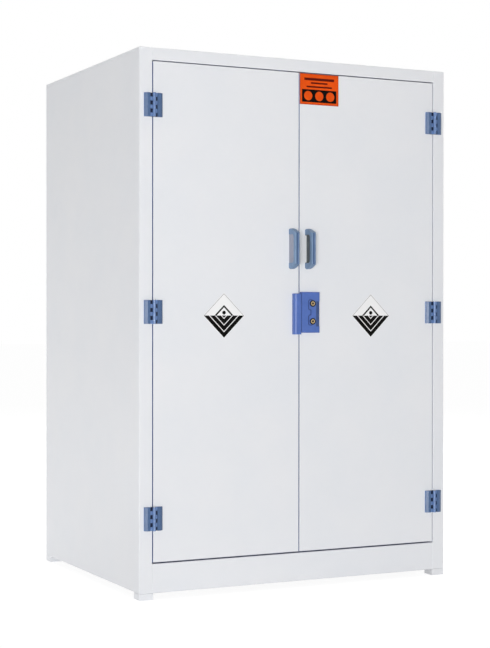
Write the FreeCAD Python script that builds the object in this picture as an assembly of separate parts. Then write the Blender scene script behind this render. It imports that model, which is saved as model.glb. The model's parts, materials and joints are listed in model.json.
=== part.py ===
import FreeCAD
import Part
import math
import os
from FreeCAD import Vector

# Two-door reagent cabinet, welded from plastic sheet. All lengths are in millimetres.
# X runs along the front to the right, Y runs into the cabinet and Z is up. The origin is on
# the floor, under the middle of the whole cabinet with its handles.
# Depths are measured into the cabinet from its front face, and reaches out of that face.

# Carcass
body_width = 1090.0
body_depth = 860.0
body_height = 1650.0
sheet = 8.0
foot_side = 45.0
foot_height = 20.0
bearer_width = 40.0
bearer_spacing = 350.0
bearers = 3

# Face frame round the doors
stile_width = 41.5
top_rail_height = 38.0
bottom_rail_height = 89.0
stop_width = 16.0

# Doors, each two skins on a core frame
door_gap = 3.2
door_sill_gap = 4.5
outer_skin = 8.0
core_depth = 10.0
inner_skin = 8.0
core_stile_width = 70.0
core_rail_height = 60.0
core_bars = 3
edge_band = 1.2
edge_band_setback = 1.5

# Seal on the door stop
seal_depth = 3.7
seal_width = 12.0
seal_clearance = 0.3

# Hinges, with the pin in front of the gap
hinge_height = 72.0
hinge_spacing = 625.0
knuckles = 6
knuckle_clearance = 0.3
barrel_radius = 5.0
barrel_reach = 12.0
pin_radius = 2.2
pin_clearance = 0.05
pin_head_radius = 3.6
pin_head_height = 1.2
leaf_reach = 29.5
leaf_thickness = 4.0
leaf_gap = 2.0
web_reach = 8.5
cover_thickness = 7.0
cover_edge_thickness = 2.0
cover_start = 12.0
cover_slope_width = 8.5

# Countersunk hinge screws
screw_offset = 19.5
screw_spacing = 44.0
screw_radius = 2.0
screw_length = 16.0
screw_head_radius = 4.0
screw_head_depth = 2.2
screw_clearance = 0.1

# Long screws through the doors, which hold the handles, the keeper and the lock
long_screw_radius = 2.5
long_screw_bite = 10.0
long_screw_head_radius = 5.0
long_screw_head_height = 3.0

# Shell handles, each with a cup insert for the fingers
handle_width = 16.0
handle_height = 128.0
handle_reach = 45.0
handle_offset = 21.0
handle_above_lock = 72.5
handle_chamfer_reach = 32.0
handle_chamfer_height = 15.0
handle_corner_radius = 5.0
handle_end_radius = 6.0
handle_front_radius = 3.0
handle_scoop_width = 9.0
handle_scoop_depth = 1.5
handle_wall = 3.0
finger_height = 86.0
finger_reach = 30.0
finger_corner_radius = 8.0
insert_wall = 2.0
insert_clearance = 0.2
insert_recess = 1.0
hollow_base_width = 5.5
hollow_slope_reach = 14.0
handle_screw_spacing = 104.0

# Lock housing on the right door
lock_offset = 2.0
lock_width = 64.0
lock_height = 129.0
lock_reach = 15.0
lock_above_base = 850.5
lock_wall = 4.0
lock_plate = 2.5
lock_slope_width = 13.0
lock_slope_fall = 2.6
lock_slope_step_width = 4.0
lock_slope_step_fall = 2.0
lock_slope_below_top = 29.0
lock_slope_above_bottom = 20.0
lock_cavity_width = 47.0
lock_cavity_height = 91.0
lock_screw_spacing_x = 42.0
lock_screw_spacing_z = 110.0
lock_screw_start = 12.0

# Groove beside both keyholes, in the front of the housing
escutcheon_half_width = 15.5
escutcheon_height = 34.0
escutcheon_spacing = 48.0
escutcheon_waist = 15.0
escutcheon_corner_radius = 5.5
groove_width = 2.0
groove_depth = 2.0

# Key barrels, turning cores and sliding bolts
key_spacing = 56.5
key_offset = 41.0
key_barrel_radius = 10.5
key_barrel_proud = 2.0
key_core_radius = 6.5
key_core_recess = 0.4
key_clearance = 0.05
keyway_width = 3.0
keyway_height = 7.0
keyway_depth = 3.5
crank_radius = 8.0
crank_disc_radius = 10.5
crank_disc_thickness = 2.0
crank_pin_radius = 2.0
crank_clearance = 0.3
crank_rest_angle = 45.0
bolt_thickness = 5.0
bolt_height = 12.0
bolt_setback = 0.5
bolt_clearance = 0.3
bolt_slot_clearance = 0.5
bolt_slot_wall = 2.5

# Keeper on the left door
keeper_offset = 2.0
keeper_width = 23.0
keeper_height = 129.0
keeper_reach = 19.0
keeper_drop = 5.0
keeper_edge_radius = 8.0
keeper_pocket_depth = 11.0
keeper_pocket_clearance = 1.0
keeper_screw_offset = 16.0
keeper_screw_spacing = 100.0

# Slotted standards, clips, shelves and spill tray inside
standard_thickness = 5.0
standard_width = 30.0
standard_depth = 110.0
standard_lift = 40.0
slot_width = 20.0
slot_height = 8.0
slot_pitch = 40.0
slot_margin = 30.0
clip_width = 18.0
clip_reach = 28.0
clip_height = 12.0
clip_clearance = 0.6
shelf_names = ("lower", "middle", "upper")
first_shelf_slot = 7
slots_between_shelves = 10
shelf_side_clearance = 2.0
shelf_setback = 22.0
shelf_back_gap = 12.0
shelf_lip = 30.0
tray_side_gap = 5.0
tray_setback = 12.0
tray_wall = 5.0
tray_height = 60.0

# Stickers
sticker = 0.4
diamond_diagonal = 142.0
diamond_offset = 263.5
diamond_above_base = 840.5
caution_width = 140.5
caution_height = 98.0
caution_margin = 0.3

# One overrun serves every cut
overrun = 2.0

# Places that follow from the sizes
side_x = body_width / 2
front_y = (handle_reach - body_depth) / 2
base_z = foot_height
top_z = base_z + body_height
opening_x = side_x - stile_width
opening_bottom = base_z + bottom_rail_height
opening_top = top_z - top_rail_height
hinge_edge_x = opening_x - door_gap
free_edge_x = door_gap / 2
hinge_axis_x = opening_x - door_gap / 2
door_bottom = opening_bottom + door_sill_gap
door_top = opening_top - door_gap
door_middle = (door_bottom + door_top) / 2
door_thickness = outer_skin + core_depth + inner_skin
seal_start = door_thickness + seal_clearance
stop_depth = seal_start + seal_depth
frame_depth = stop_depth + sheet
floor_top = opening_bottom - sheet
inner_back = body_depth - sheet
knuckle_height = hinge_height / knuckles
hinge_levels = {
    "bottom": door_middle - hinge_spacing,
    "middle": door_middle,
    "top": door_middle + hinge_spacing,
}
lock_middle = base_z + lock_above_base
keeper_middle = lock_middle - keeper_drop
handle_middle = lock_middle + lock_height / 2 + handle_above_lock + handle_height / 2
key_levels = {"lower": lock_middle - key_spacing / 2, "upper": lock_middle + key_spacing / 2}
bolt_back = lock_plate + bolt_clearance
bolt_front = bolt_back + bolt_thickness


# Small helpers for places and shapes

def depth(distance):
    """Y of a place this far into the cabinet."""
    return front_y + distance


def reach(distance):
    """Y of a place this far out of the front face."""
    return front_y - distance


def box(x0, x1, y0, y1, z0, z1):
    low = Vector(min(x0, x1), min(y0, y1), min(z0, z1))
    return Part.makeBox(abs(x1 - x0), abs(y1 - y0), abs(z1 - z0), low)


def disc_out(x, z, radius, from_reach, to_reach):
    """A cylinder square to the front face, between two reaches."""
    start = Vector(x, reach(from_reach), z)
    return Part.makeCylinder(radius, to_reach - from_reach, start, Vector(0, -1, 0))


def polygon_prism(corners, along):
    outline = Part.makePolygon(corners + corners[:1])
    return Part.Face(outline).extrude(along)


def joined(shapes):
    return shapes[0].fuse(shapes[1:]).removeSplitter()


def without(shape, cutters):
    return shape.cut(Part.makeCompound(cutters)) if cutters else shape


def mirrored(shape):
    return shape.mirror(Vector(0, 0, 0), Vector(1, 0, 0))


def save(node, shapes):
    shape = shapes[0] if len(shapes) == 1 else Part.makeCompound(shapes)
    shape.exportStep("parts/" + node + ".step")


# Carcass and face frame

def side_panel():
    inner_x = side_x - sheet
    return box(-side_x, -inner_x, depth(sheet), depth(body_depth), base_z, top_z - sheet)


def left_stile(screw_places):
    """Front plate, jamb and stop of the left stile, a closed box with the side panel."""
    inner_x = side_x - sheet
    low = base_z + sheet
    high = top_z - sheet
    plate = box(-side_x, -opening_x, depth(0), depth(sheet), base_z, top_z)
    jamb = box(-opening_x - sheet, -opening_x, depth(sheet), depth(frame_depth), low, high)
    web = box(-inner_x, -opening_x, depth(stop_depth), depth(frame_depth), low, high)
    stop = box(
        -opening_x,
        -opening_x + stop_width,
        depth(stop_depth),
        depth(frame_depth),
        opening_bottom + stop_width,
        opening_top - stop_width,
    )
    stile = joined([plate, jamb, web, stop])
    return without(stile, [hinge_screw_hole(x, z) for x, z in screw_places])


def top_rail():
    x = opening_x
    plate = box(-x, x, depth(0), depth(sheet), opening_top, top_z)
    lintel = box(-x, x, depth(sheet), depth(frame_depth), opening_top, opening_top + sheet)
    web = box(-x, x, depth(stop_depth), depth(frame_depth), opening_top - stop_width, top_z - sheet)
    return joined([plate, lintel, web])


def bottom_rail():
    x = opening_x
    plate = box(-x, x, depth(0), depth(sheet), base_z, opening_bottom)
    sill = box(-x, x, depth(sheet), depth(frame_depth), floor_top, opening_bottom)
    web = box(
        -x, x, depth(stop_depth), depth(frame_depth), base_z + sheet, opening_bottom + stop_width
    )
    return joined([plate, sill, web])


def opening_seal():
    x = opening_x
    outer = box(-x, x, depth(seal_start), depth(stop_depth), opening_bottom, opening_top)
    inner = box(
        -x + seal_width,
        x - seal_width,
        depth(seal_start - overrun),
        depth(stop_depth + overrun),
        opening_bottom + seal_width,
        opening_top - seal_width,
    )
    return outer.cut(inner)


def floor_bearers():
    first_x = -bearer_spacing * (bearers - 1) / 2
    places = [first_x + number * bearer_spacing for number in range(bearers)]
    half = bearer_width / 2
    low = base_z + sheet
    high = floor_top - sheet
    return [box(x - half, x + half, depth(frame_depth), depth(inner_back), low, high) for x in places]


def feet():
    shapes = []
    for x in (-side_x, side_x - foot_side):
        for start in (0, body_depth - foot_side):
            shapes.append(box(x, x + foot_side, depth(start), depth(start + foot_side), 0, foot_height))
    return shapes


def build_carcass(screw_places):
    inner_x = side_x - sheet
    inner_low = floor_top - sheet
    save("left_side_panel", [side_panel()])
    save("right_side_panel", [mirrored(side_panel())])
    save("top_panel", [box(-side_x, side_x, depth(sheet), depth(body_depth), top_z - sheet, top_z)])
    save("back_panel", [box(-inner_x, inner_x, depth(inner_back), depth(body_depth), base_z, top_z - sheet)])
    save("base_panel", [box(-inner_x, inner_x, depth(sheet), depth(inner_back), base_z, base_z + sheet)])
    save("floor_panel", [box(-inner_x, inner_x, depth(frame_depth), depth(inner_back), inner_low, floor_top)])
    save("left_stile", [left_stile(screw_places)])
    save("right_stile", [mirrored(left_stile(screw_places))])
    save("top_rail", [top_rail()])
    save("bottom_rail", [bottom_rail()])
    save("opening_seal", [opening_seal()])
    save("floor_bearers", floor_bearers())
    save("feet", feet())


# Hinges

def hinge_screw(x, z):
    """A countersunk screw through a leaf, its head flush with the leaf."""
    shank = disc_out(x, z, screw_radius, leaf_thickness - screw_length, leaf_thickness - screw_head_depth)
    start = Vector(x, reach(leaf_thickness - screw_head_depth), z)
    head = Part.makeCone(screw_radius, screw_head_radius, screw_head_depth, start, Vector(0, -1, 0))
    return joined([shank, head])


def hinge_screw_hole(x, z):
    shank_radius = screw_radius + screw_clearance
    head_radius = screw_head_radius + screw_clearance
    back = leaf_thickness - screw_length - screw_clearance
    shank = disc_out(x, z, shank_radius, back, leaf_thickness - screw_head_depth)
    start = Vector(x, reach(leaf_thickness - screw_head_depth), z)
    head = Part.makeCone(shank_radius, head_radius, screw_head_depth, start, Vector(0, -1, 0))
    return joined([shank, head])


def screw_levels(level):
    return (level - screw_spacing / 2, level + screw_spacing / 2)


def hinge_leaf(axis_x, level, hand, own_knuckles):
    """One leaf, on the side of the pin that hand gives: its plate, own knuckles and their webs."""
    root_x = axis_x + hand * leaf_gap / 2
    outer_x = axis_x + hand * leaf_reach
    low = level - hinge_height / 2
    high = level + hinge_height / 2
    pieces = [box(root_x, outer_x, reach(0), reach(leaf_thickness), low, high)]
    for number in own_knuckles:
        top = high - number * knuckle_height - knuckle_clearance / 2
        bottom = top - knuckle_height + knuckle_clearance
        start = Vector(axis_x, reach(barrel_reach), bottom)
        pieces.append(Part.makeCylinder(barrel_radius, top - bottom, start, Vector(0, 0, 1)))
        web_end = axis_x + hand * cover_start
        pieces.append(box(axis_x, web_end, reach(0), reach(web_reach), bottom, top))
    leaf = joined(pieces)
    hole_start = Vector(axis_x, reach(barrel_reach), low - overrun)
    hole_height = hinge_height + 2 * overrun
    hole = Part.makeCylinder(pin_radius + pin_clearance, hole_height, hole_start, Vector(0, 0, 1))
    screw_x = axis_x + hand * screw_offset
    holes = [hinge_screw_hole(screw_x, z) for z in screw_levels(level)]
    return without(leaf, [hole] + holes)


def leaf_cover(axis_x, level, hand):
    """The snap-on cover over a leaf's screws, which slopes back to the leaf along its outer side."""
    outline = [
        (cover_start, leaf_thickness),
        (cover_start, leaf_thickness + cover_thickness),
        (leaf_reach - cover_slope_width, leaf_thickness + cover_thickness),
        (leaf_reach, leaf_thickness + cover_edge_thickness),
        (leaf_reach, leaf_thickness),
    ]
    low = level - hinge_height / 2
    corners = [Vector(axis_x + hand * across, reach(out), low) for across, out in outline]
    return polygon_prism(corners, Vector(0, 0, hinge_height))


def hinge_pin(axis_x, level):
    low = level - hinge_height / 2
    up = Vector(0, 0, 1)
    shank = Part.makeCylinder(pin_radius, hinge_height, Vector(axis_x, reach(barrel_reach), low), up)
    head_start = Vector(axis_x, reach(barrel_reach), low + hinge_height)
    head = Part.makeCylinder(pin_head_radius, pin_head_height, head_start, up)
    return joined([shank, head])


def build_hinges():
    """Every hinge is the same way up: its right-hand leaf has the first knuckle from the top."""
    right_hand_knuckles = range(0, knuckles, 2)
    left_hand_knuckles = range(1, knuckles, 2)
    frame_covers = []
    frame_screws = []
    for side, axis_x in (("left", -hinge_axis_x), ("right", hinge_axis_x)):
        frame_hand = -1 if side == "left" else 1
        frame_own = left_hand_knuckles if side == "left" else right_hand_knuckles
        door_own = right_hand_knuckles if side == "left" else left_hand_knuckles
        pins = []
        door_covers = []
        for place, level in hinge_levels.items():
            save(side + "_" + place + "_frame_leaf", [hinge_leaf(axis_x, level, frame_hand, frame_own)])
            save(side + "_" + place + "_door_leaf", [hinge_leaf(axis_x, level, -frame_hand, door_own)])
            pins.append(hinge_pin(axis_x, level))
            door_covers.append(leaf_cover(axis_x, level, -frame_hand))
            frame_covers.append(leaf_cover(axis_x, level, frame_hand))
            screw_x = axis_x + frame_hand * screw_offset
            frame_screws.extend(hinge_screw(screw_x, z) for z in screw_levels(level))
        save(side + "_hinge_pins", pins)
        save(side + "_door_leaf_covers", door_covers)
    save("frame_leaf_covers", frame_covers)
    save("frame_leaf_screws", frame_screws)


def hinge_screw_places(screw_x):
    return [(screw_x, z) for level in hinge_levels.values() for z in screw_levels(level)]


# Long screws, driven from inside the doors

def long_screw(x, z, from_reach):
    """A screw with its head on the inner skin, which bites into what starts at from_reach."""
    shank = disc_out(x, z, long_screw_radius, -door_thickness, from_reach + long_screw_bite)
    head_back = -door_thickness - long_screw_head_height
    head = disc_out(x, z, long_screw_head_radius, head_back, -door_thickness)
    return joined([shank, head])


def long_screw_hole(x, z, from_reach):
    radius = long_screw_radius + screw_clearance
    end = from_reach + long_screw_bite + screw_clearance
    return disc_out(x, z, radius, -door_thickness - overrun, end)


def handle_screw_places():
    x = handle_offset + handle_width / 2
    half = handle_screw_spacing / 2
    return [(x, handle_middle - half), (x, handle_middle + half)]


def keeper_screw_places():
    half = keeper_screw_spacing / 2
    return [(-keeper_screw_offset, keeper_middle - half), (-keeper_screw_offset, keeper_middle + half)]


def lock_screw_places():
    first_x = lock_offset + lock_screw_start
    half = lock_screw_spacing_z / 2
    return [
        (x, z)
        for x in (first_x, first_x + lock_screw_spacing_x)
        for z in (lock_middle - half, lock_middle + half)
    ]


# Doors. Each layer is drawn for the left door.

def door_slab(inset, from_depth, to_depth):
    return box(
        -hinge_edge_x + inset,
        -free_edge_x - inset,
        depth(from_depth),
        depth(to_depth),
        door_bottom + inset,
        door_top - inset,
    )


def door_outer_panel():
    face = door_slab(0, 0, edge_band_setback)
    behind = door_slab(edge_band, edge_band_setback, outer_skin)
    return joined([face, behind])


def door_edge_band():
    outer = door_slab(0, edge_band_setback, door_thickness)
    inner = door_slab(edge_band, edge_band_setback - overrun, door_thickness + overrun)
    return outer.cut(inner)


def door_core():
    """A frame with cross bars between the two skins."""
    core = door_slab(edge_band, outer_skin, outer_skin + core_depth)
    low = door_bottom + core_rail_height
    high = door_top - core_rail_height
    window_height = (high - low - core_bars * core_rail_height) / (core_bars + 1)
    windows = []
    for number in range(core_bars + 1):
        bottom = low + number * (window_height + core_rail_height)
        windows.append(
            box(
                -hinge_edge_x + core_stile_width,
                -free_edge_x - core_stile_width,
                depth(outer_skin - overrun),
                depth(outer_skin + core_depth + overrun),
                bottom,
                bottom + window_height,
            )
        )
    return without(core, windows)


def door_inner_panel():
    return door_slab(edge_band, outer_skin + core_depth, door_thickness)


def build_door(side, long_screws):
    """One door: its layers with their screw holes, and all its screws in one group."""
    hand = -1 if side == "left" else 1
    screw_x = hand * (hinge_axis_x - screw_offset)
    hinge_holes = [hinge_screw_hole(x, z) for x, z in hinge_screw_places(screw_x)]
    long_holes = [long_screw_hole(x, z, start) for x, z, start in long_screws]
    layers = {
        "outer_panel": (door_outer_panel(), hinge_holes + long_holes),
        "core": (door_core(), hinge_holes + long_holes),
        "inner_panel": (door_inner_panel(), long_holes),
        "edge_band": (door_edge_band(), []),
    }
    for layer, (shape, holes) in layers.items():
        placed = shape if side == "left" else mirrored(shape)
        save(side + "_door_" + layer, [without(placed, holes)])
    screws = [hinge_screw(x, z) for x, z in hinge_screw_places(screw_x)]
    screws.extend(long_screw(x, z, start) for x, z, start in long_screws)
    save(side + "_door_screws", screws)


# Handles

def handle_shell():
    """The right-hand shell, a bridge with a window through it for the insert."""
    half = handle_height / 2
    shoulder = handle_reach - handle_chamfer_reach
    front_half = half - handle_chamfer_height
    inner_x = handle_offset
    outer_x = handle_offset + handle_width
    outline = [
        (0, -half),
        (shoulder, -half),
        (handle_reach, -front_half),
        (handle_reach, front_half),
        (shoulder, half),
        (0, half),
    ]
    corners = [Vector(inner_x, reach(out), handle_middle + up) for out, up in outline]
    solid = polygon_prism(corners, Vector(handle_width, 0, 0))
    off_face = reach(handle_corner_radius)
    across = [
        edge
        for edge in solid.Edges
        if edge.BoundBox.XLength > handle_width / 2 and edge.BoundBox.YMax < off_face
    ]
    solid = solid.makeFillet(handle_corner_radius, across).common(handle_blank())
    window = finger_block(inner_x - overrun, outer_x + overrun, -overrun, insert_wall)
    return without(solid, [window, handle_scoop()])


def handle_blank():
    """A block as large as the handle, with its ends round from the front and its long front edges round."""
    half = handle_height / 2
    block = box(
        handle_offset,
        handle_offset + handle_width,
        reach(0),
        reach(handle_reach),
        handle_middle - half,
        handle_middle + half,
    )
    long_edges = [
        edge
        for edge in block.Edges
        if edge.BoundBox.ZLength > handle_width and edge.BoundBox.YMax < reach(handle_reach / 2)
    ]
    end_edges = [edge for edge in block.Edges if edge.BoundBox.YLength > handle_width]
    round_ends = block.makeFillet(handle_end_radius, end_edges)
    round_front = block.makeFillet(handle_front_radius, long_edges)
    return round_ends.common(round_front)


def handle_scoop():
    """What is cut along the front of the shell to leave it slightly hollow."""
    half_width = handle_scoop_width / 2
    radius = (half_width ** 2 + handle_scoop_depth ** 2) / (2 * handle_scoop_depth)
    half = handle_height / 2
    middle_x = handle_offset + handle_width / 2
    start = Vector(middle_x, reach(handle_reach - handle_scoop_depth + radius), handle_middle - half)
    return Part.makeCylinder(radius, handle_height, start, Vector(0, 0, 1))


def finger_block(x0, x1, from_reach, margin):
    """The block that the fingers need, larger all round by a margin, with round front corners."""
    half = finger_height / 2 + margin
    front = reach(finger_reach + margin)
    block = box(x0, x1, reach(from_reach), front, handle_middle - half, handle_middle + half)
    corners = [
        edge
        for edge in block.Edges
        if edge.BoundBox.XLength > handle_wall and edge.BoundBox.YMin < reach(finger_corner_radius)
    ]
    return block.makeFillet(finger_corner_radius + margin, corners)


def handle_insert():
    """The cup in the right-hand shell, closed on its hinge side and open to the fingers on its free side."""
    inner_x = handle_offset + insert_recess
    outer_x = handle_offset + handle_width - insert_recess
    cup = finger_block(inner_x, outer_x, 0, insert_wall - insert_clearance)
    return cup.cut(finger_hollow())


def finger_hollow():
    """The hollow of the cup, whose closed side slopes out towards the door."""
    start_x = handle_offset - overrun
    end_x = handle_offset + handle_width - handle_wall
    half = finger_height / 2
    outline = [
        (start_x, -overrun),
        (handle_offset + hollow_base_width, -overrun),
        (handle_offset + hollow_base_width, 0),
        (end_x, hollow_slope_reach),
        (end_x, finger_reach),
        (start_x, finger_reach),
    ]
    corners = [Vector(x, reach(out), handle_middle - half) for x, out in outline]
    slanted = polygon_prism(corners, Vector(0, 0, finger_height))
    return slanted.common(finger_block(start_x, end_x, -overrun, 0))


def build_handles():
    holes = [long_screw_hole(x, z, 0) for x, z in handle_screw_places()]
    pieces = [without(handle_shell(), holes), handle_insert()]
    save("right_handle", pieces)
    save("left_handle", [mirrored(shape) for shape in pieces])


# Lock and keeper

def lock_cavity():
    """The room for the cranks and bolts, with a window for each bolt in the free side."""
    inner_x = lock_offset + lock_wall
    half = lock_cavity_height / 2
    back = reach(lock_plate - overrun)
    room = box(
        inner_x,
        inner_x + lock_cavity_width,
        back,
        reach(lock_reach - lock_wall),
        lock_middle - half,
        lock_middle + half,
    )
    half_window = bolt_height / 2 + bolt_clearance
    window_front = reach(bolt_front + bolt_clearance)
    windows = [
        box(lock_offset - overrun, inner_x + overrun, back, window_front, z - half_window, z + half_window)
        for z in key_levels.values()
    ]
    return joined([room] + windows)


def lock_slope():
    """What is cut from the housing's outer edge for the thumb: a steep step, then a gentle slope."""
    inner_x = lock_offset + lock_width - lock_slope_width
    step_x = inner_x + lock_slope_step_width
    outer_x = lock_offset + lock_width
    low = lock_middle - lock_height / 2 + lock_slope_above_bottom
    high = lock_middle + lock_height / 2 - lock_slope_below_top
    outline = [
        (inner_x, lock_reach),
        (inner_x, lock_reach + overrun),
        (outer_x + overrun, lock_reach + overrun),
        (outer_x + overrun, lock_reach - lock_slope_fall),
        (outer_x, lock_reach - lock_slope_fall),
        (step_x, lock_reach - lock_slope_step_fall),
    ]
    corners = [Vector(x, reach(out), low) for x, out in outline]
    return polygon_prism(corners, Vector(0, 0, high - low))


def escutcheon(inset):
    """Two round-cornered fields behind the keyholes and the waist between them, as deep as the groove."""
    back = reach(lock_reach - groove_depth)
    front = reach(lock_reach + overrun)
    half_width = escutcheon_half_width - inset
    half_height = escutcheon_height / 2 - inset
    low_x = key_offset - half_width
    high_x = key_offset + half_width
    low = lock_middle - escutcheon_spacing / 2
    high = lock_middle + escutcheon_spacing / 2
    pieces = []
    for z in (low, high):
        field = box(low_x, high_x, back, front, z - half_height, z + half_height)
        upright = [edge for edge in field.Edges if edge.BoundBox.YLength > groove_depth]
        pieces.append(field.makeFillet(escutcheon_corner_radius - inset, upright))
    half_waist = escutcheon_waist / 2 - inset
    pieces.append(box(key_offset - half_waist, key_offset + half_waist, back, front, low, high))
    return joined(pieces)


def lock_housing():
    low = lock_middle - lock_height / 2
    high = lock_middle + lock_height / 2
    outer_x = lock_offset + lock_width
    block = box(lock_offset, outer_x, reach(lock_plate), reach(lock_reach), low, high)
    far_side = box(key_offset, outer_x, reach(0), reach(lock_reach + overrun), low, high)
    groove = escutcheon(0).cut(escutcheon(groove_width)).cut(far_side)
    barrel_holes = [
        disc_out(key_offset, z, key_barrel_radius + key_clearance, lock_plate, lock_reach + overrun)
        for z in key_levels.values()
    ]
    screw_holes = [long_screw_hole(x, z, 0) for x, z in lock_screw_places()]
    return without(block, [lock_cavity(), lock_slope(), groove] + barrel_holes + screw_holes)


def lock_base_plate():
    low = lock_middle - lock_height / 2
    high = lock_middle + lock_height / 2
    plate = box(lock_offset, lock_offset + lock_width, reach(0), reach(lock_plate), low, high)
    return without(plate, [long_screw_hole(x, z, 0) for x, z in lock_screw_places()])


def key_barrel(level):
    back = lock_reach - lock_wall
    front = lock_reach + key_barrel_proud
    ring = disc_out(key_offset, level, key_barrel_radius, back, front)
    bore_radius = key_core_radius + key_clearance
    return ring.cut(disc_out(key_offset, level, bore_radius, back - overrun, front + overrun))


def key_core(level):
    """A turning core with its keyway, crank disc and crank pin, in its unlocked place."""
    front = lock_reach + key_barrel_proud - key_core_recess
    disc_front = lock_reach - lock_wall - crank_clearance
    disc_back = disc_front - crank_disc_thickness
    core = disc_out(key_offset, level, key_core_radius, disc_front, front)
    disc = disc_out(key_offset, level, crank_disc_radius, disc_back, disc_front)
    pin_x, pin_z = crank_pin_place(level)
    pin = disc_out(pin_x, pin_z, crank_pin_radius, bolt_back + bolt_clearance, disc_back)
    half_width = keyway_width / 2
    half_height = keyway_height / 2
    keyway = box(
        key_offset - half_width,
        key_offset + half_width,
        reach(front - keyway_depth),
        reach(front + overrun),
        level - half_height,
        level + half_height,
    )
    return joined([core, disc, pin]).cut(keyway)


def crank_pin_place(level):
    angle = math.radians(crank_rest_angle)
    return key_offset + crank_radius * math.sin(angle), level + crank_radius * math.cos(angle)


def bolt(level):
    """A bolt with an upright slot, in which the crank pin moves it to and fro."""
    pin_x, pin_z = crank_pin_place(level)
    half_slot = crank_pin_radius + bolt_slot_clearance
    slot_low = pin_z - half_slot
    slot_high = level + crank_radius + half_slot
    nose_x = lock_offset + bolt_setback
    head_x0 = pin_x - half_slot - bolt_slot_wall
    head_x1 = pin_x + half_slot + bolt_slot_wall
    low = level - bolt_height / 2
    nose = box(nose_x, head_x1, reach(bolt_back), reach(bolt_front), low, low + bolt_height)
    head = box(head_x0, head_x1, reach(bolt_back), reach(bolt_front), low, slot_high + bolt_slot_wall)
    slot = box(
        pin_x - half_slot,
        pin_x + half_slot,
        reach(bolt_back - overrun),
        reach(bolt_front + overrun),
        slot_low,
        slot_high,
    )
    return joined([nose, head]).cut(slot)


def keeper():
    """A block with a round outer edge and an open pocket for each bolt."""
    low = keeper_middle - keeper_height / 2
    free_x = -keeper_offset
    outer_x = -keeper_offset - keeper_width
    bend = Vector(outer_x + keeper_edge_radius, reach(keeper_reach - keeper_edge_radius), low)
    lean = keeper_edge_radius * math.sqrt(0.5)
    arc = Part.Arc(
        Vector(outer_x, bend.y, low),
        Vector(bend.x - lean, bend.y - lean, low),
        Vector(bend.x, reach(keeper_reach), low),
    ).toShape()
    corners = [
        Vector(bend.x, reach(keeper_reach), low),
        Vector(free_x, reach(keeper_reach), low),
        Vector(free_x, reach(0), low),
        Vector(outer_x, reach(0), low),
        Vector(outer_x, bend.y, low),
    ]
    outline = Part.Wire([arc] + Part.makePolygon(corners).Edges)
    block = Part.Face(outline).extrude(Vector(0, 0, keeper_height))
    half_pocket = bolt_height / 2 + keeper_pocket_clearance
    pockets = [
        box(
            free_x - keeper_pocket_depth,
            free_x + overrun,
            reach(bolt_back - keeper_pocket_clearance),
            reach(bolt_front + keeper_pocket_clearance),
            z - half_pocket,
            z + half_pocket,
        )
        for z in key_levels.values()
    ]
    return without(block, pockets + [long_screw_hole(x, z, 0) for x, z in keeper_screw_places()])


def build_lock():
    save("lock_housing", [lock_housing()])
    save("lock_base_plate", [lock_base_plate()])
    save("lock_barrels", [key_barrel(z) for z in key_levels.values()])
    save("lock_keeper", [keeper()])
    for place, level in key_levels.items():
        save(place + "_key_core", [key_core(level)])
        save(place + "_bolt", [bolt(level)])


# Interior

standard_bottom = floor_top + standard_lift
standard_top = top_z - sheet - standard_lift
standard_middles = (standard_depth + standard_width / 2, inner_back - standard_depth - standard_width / 2)
standard_face_x = side_x - sheet - standard_thickness
slots = int((standard_top - standard_bottom - 2 * slot_margin) / slot_pitch) + 1


def slot_level(number):
    return standard_bottom + slot_margin + number * slot_pitch


def shelf_standard(middle):
    """A slotted strip on the left side panel, about its middle depth."""
    half = standard_width / 2
    inner_x = side_x - sheet
    strip = box(
        -inner_x, -standard_face_x, depth(middle - half), depth(middle + half), standard_bottom, standard_top
    )
    cutters = []
    for number in range(slots):
        z = slot_level(number)
        cutters.append(
            box(
                -inner_x - overrun,
                -standard_face_x + overrun,
                depth(middle - slot_width / 2),
                depth(middle + slot_width / 2),
                z - slot_height / 2,
                z + slot_height / 2,
            )
        )
    return without(strip, cutters)


def shelf_clip(middle, level):
    """A ledge with a tongue in one slot of a left-hand standard."""
    half = clip_width / 2
    tongue_half = (slot_height - clip_clearance) / 2
    top = level + tongue_half
    ledge = box(
        -standard_face_x,
        -standard_face_x + clip_reach,
        depth(middle - half),
        depth(middle + half),
        top - clip_height,
        top,
    )
    tongue_end = standard_thickness - clip_clearance
    tongue = box(
        -standard_face_x - tongue_end,
        -standard_face_x,
        depth(middle - half),
        depth(middle + half),
        level - tongue_half,
        top,
    )
    return joined([ledge, tongue])


def open_tray(half_width, from_depth, to_depth, bottom, floor, wall, height):
    outer = box(-half_width, half_width, depth(from_depth), depth(to_depth), bottom, bottom + height)
    inner = box(
        -half_width + wall,
        half_width - wall,
        depth(from_depth + wall),
        depth(to_depth - wall),
        bottom + floor,
        bottom + height + overrun,
    )
    return outer.cut(inner)


def build_interior():
    left_standards = [shelf_standard(middle) for middle in standard_middles]
    save("shelf_standards", left_standards + [mirrored(shape) for shape in left_standards])
    clips = []
    for number, place in enumerate(shelf_names):
        level = slot_level(first_shelf_slot + number * slots_between_shelves)
        clips.extend(shelf_clip(middle, level) for middle in standard_middles)
        bottom = level + (slot_height - clip_clearance) / 2
        half_width = standard_face_x - shelf_side_clearance
        start = frame_depth + shelf_setback
        end = inner_back - shelf_back_gap
        save(place + "_shelf", [open_tray(half_width, start, end, bottom, sheet, sheet, sheet + shelf_lip)])
    save("shelf_clips", clips + [mirrored(shape) for shape in clips])
    tray_half = opening_x - stop_width - tray_side_gap
    tray_start = frame_depth + tray_setback
    tray_end = inner_back - tray_setback
    tray = open_tray(tray_half, tray_start, tray_end, floor_top, tray_wall, tray_wall, tray_height)
    save("spill_tray", [tray])


# Stickers

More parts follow.
